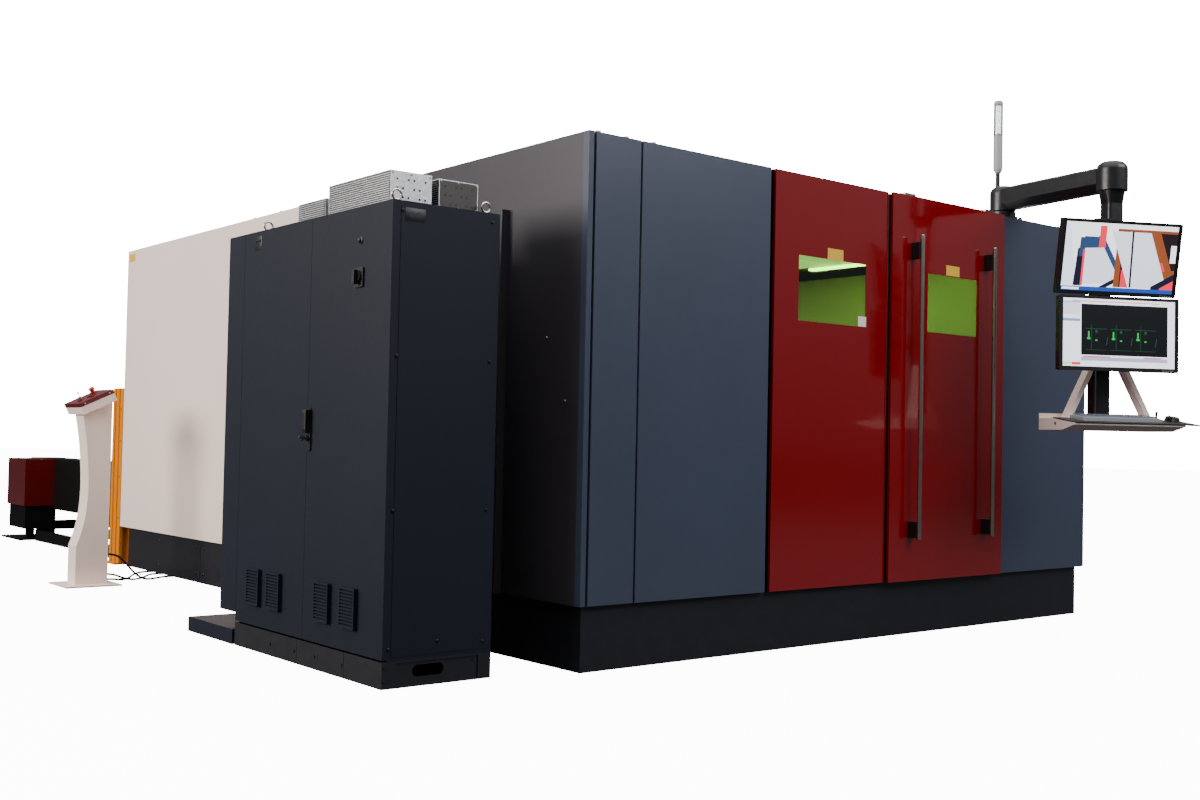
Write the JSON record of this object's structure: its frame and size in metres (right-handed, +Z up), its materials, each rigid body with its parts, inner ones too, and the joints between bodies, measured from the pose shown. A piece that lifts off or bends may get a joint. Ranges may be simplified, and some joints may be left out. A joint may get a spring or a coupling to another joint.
{
  "type": "fiber laser cutting machine",
  "caption": "Enclosed fiber laser cutting machine with sliding door, swivel pendant, control cabinet and rear pallet changer.",
  "frame": {"origin": "under the cabin, at the centre of its plan and on the floor, on the underside of the bed's middle cross member", "axes": "+X to the operator's right, +Y from the operator's front to the pallet changer at the back, +Z up"},
  "size_m": [4.74, 9.5709, 3.031],
  "materials": {
    "frame_black": "satin",
    "base_dark": "satin",
    "panel_grey": "satin",
    "panel_dark": "satin",
    "panel_white": "satin",
    "gloss_red": "gloss",
    "green_glass": "gloss",
    "machine_grey": "satin",
    "steel": "satin",
    "cabinet_blue": "satin",
    "device_plastic": "matte",
    "galvanised": "matte",
    "black_paint": "satin",
    "grey_plastic": "matte",
    "clear_lens": "gloss",
    "dark_red": "satin",
    "safety_yellow": "satin",
    "black_rubber": "matte",
    "black_plastic": "satin",
    "stop_red": "gloss"
  },
  "bodies": {
    "machine": {"machine_bed": "machine_grey", "cabin_frame": "frame_black", "base_skirt": "base_dark", "front_panels": "panel_grey", "left_red_panel": "gloss_red", "left_window_glass": "green_glass", "dark_side_panels": "panel_dark", "white_side_panels": "panel_white", "rear_wall": "panel_white", "roof": "panel_white", "cable_trunking": "panel_dark", "door_rail": "steel", "changer_frame": "frame_black", "drive_cover": "gloss_red", "drive_box": "frame_black", "cabinet_body": "cabinet_blue", "cabinet_plinth": "base_dark", "cabinet_devices": "device_plastic", "cable_riser": "cabinet_blue", "resistor_boxes": "galvanised", "cabinet_eyebolts": "steel", "arm_pedestal": "black_paint", "signal_tower": "grey_plastic", "tower_lens": "clear_lens", "console_stand": "panel_white", "console_cover": "dark_red", "curtain_column": "safety_yellow", "floor_cords": "black_rubber"},
    "door": {"operator_door": "gloss_red", "door_window_glass": "green_glass", "door_hangers": "steel", "door_bars": "steel", "bar_blocks": "black_plastic"},
    "gantry": {"gantry_beam": "machine_grey"},
    "carriage": {"cross_carriage": "machine_grey"},
    "torch": {"cutting_head": "steel"},
    "pallet_up": {"work_pallet": "machine_grey"},
    "pallet_down": {"waiting_pallet": "machine_grey"},
    "near_leaf": {"near_cabinet_door": "cabinet_blue", "door_plates": "black_plastic", "cabinet_lamp": "black_plastic"},
    "far_leaf": {"far_cabinet_door": "cabinet_blue"},
    "lever": {"swing_handle": "black_plastic"},
    "key": {"cabinet_key": "steel"},
    "isolator": {"switch_knob": "black_plastic"},
    "arm": {"pendant_arm": "black_paint"},
    "pendant": {"pendant_post": "black_paint", "low_monitor": "black_plastic", "control_tray": "panel_white", "tray_plate": "black_plastic", "keyboard": "grey_plastic", "mouse": "black_plastic"},
    "top_screen": {"top_monitor": "black_plastic"},
    "stick": {"joystick": "black_plastic"},
    "pendant_button": {"pendant_stop": "stop_red"},
    "start": {"start_button": "black_plastic"},
    "left_push": {"left_button": "black_plastic"},
    "right_push": {"right_button": "black_plastic"},
    "selector": {"key_selector": "steel"},
    "console_button": {"console_stop": "stop_red"}
  },
  "joints": [
    {"name": "door_slide", "type": "slide", "parent": "machine", "child": "door", "axis": [1, 0, 0], "range_m": [-0.82, 0]},
    {"name": "gantry_travel", "type": "slide", "parent": "machine", "child": "gantry", "axis": [0, 1, 0], "range_m": [0, 3.5]},
    {"name": "carriage_travel", "type": "slide", "parent": "gantry", "child": "carriage", "axis": [1, 0, 0], "range_m": [-1.4, 0.65]},
    {"name": "torch_height", "type": "slide", "parent": "carriage", "child": "torch", "axis": [0, 0, 1], "range_m": [-0.045, 0.15]},
    {"name": "work_pallet_shift", "type": "slide", "parent": "machine", "child": "pallet_up", "axis": [0, 1, 0], "range_m": [0, 3.93]},
    {"name": "waiting_pallet_shift", "type": "slide", "parent": "machine", "child": "pallet_down", "axis": [0, 1, 0], "range_m": [-3.93, 0]},
    {"name": "near_leaf_hinge", "type": "hinge", "parent": "machine", "child": "near_leaf", "pos_m": [-2.7655, -2.5245, 1], "axis": [0, 0, 1], "range_deg": [0, 110]},
    {"name": "far_leaf_hinge", "type": "hinge", "parent": "machine", "child": "far_leaf", "pos_m": [-2.7655, -1.1985, 1], "axis": [0, 0, -1], "range_deg": [0, 110]},
    {"name": "lever_turn", "type": "hinge", "parent": "near_leaf", "child": "lever", "pos_m": [-2.7755, -1.8815, 1.066], "axis": [1, 0, 0], "range_deg": [-90, 0]},
    {"name": "key_turn", "type": "hinge", "parent": "near_leaf", "child": "key", "pos_m": [-2.7845, -1.8815, 0.961], "axis": [1, 0, 0], "range_deg": [0, 90]},
    {"name": "isolator_turn", "type": "hinge", "parent": "near_leaf", "child": "isolator", "pos_m": [-2.7795, -2.2815, 1.613], "axis": [1, 0, 0], "range_deg": [0, 90]},
    {"name": "arm_swivel", "type": "hinge", "parent": "machine", "child": "arm", "pos_m": [1.2575, -2.5465, 2.345], "axis": [0, 0, 1], "range_deg": [-25, 60]},
    {"name": "pendant_swivel", "type": "hinge", "parent": "arm", "child": "pendant", "pos_m": [1.1125, -3.3095, 2.345], "axis": [0, 0, 1], "range_deg": [-60, 60]},
    {"name": "top_screen_tilt", "type": "hinge", "parent": "pendant", "child": "top_screen", "pos_m": [1.01309, -3.35384, 1.96], "axis": [0.8886, -0.4587, 0], "range_deg": [-20, 3]},
    {"name": "joystick_tilt", "type": "hinge", "parent": "pendant", "child": "stick", "pos_m": [1.25021, -3.48967, 1.14374], "axis": [0.8886, -0.4587, 0], "range_deg": [-15, 15], "stiffness_Nm_per_rad": 0.2},
    {"name": "pendant_stop_push", "type": "slide", "parent": "pendant", "child": "pendant_button", "axis": [0, 0, 1], "range_m": [-0.004, 0]},
    {"name": "start_push", "type": "slide", "parent": "machine", "child": "start", "axis": [-0.4305, 0, 0.9026], "range_m": [-0.003, 0], "stiffness_N_per_m": 1200, "springref_m": 0.001},
    {"name": "left_button_push", "type": "slide", "parent": "machine", "child": "left_push", "axis": [-0.4305, 0, 0.9026], "range_m": [-0.003, 0], "stiffness_N_per_m": 1200, "springref_m": 0.001},
    {"name": "right_button_push", "type": "slide", "parent": "machine", "child": "right_push", "axis": [-0.4305, 0, 0.9026], "range_m": [-0.003, 0], "stiffness_N_per_m": 1200, "springref_m": 0.001},
    {"name": "selector_turn", "type": "hinge", "parent": "machine", "child": "selector", "pos_m": [-2.60183, 1.5435, 1.16439], "axis": [-0.4305, 0, 0.9026], "range_deg": [-45, 45]},
    {"name": "console_stop_push", "type": "slide", "parent": "machine", "child": "console_button", "axis": [-0.4305, 0, 0.9026], "range_m": [-0.004, 0]}
  ]
}
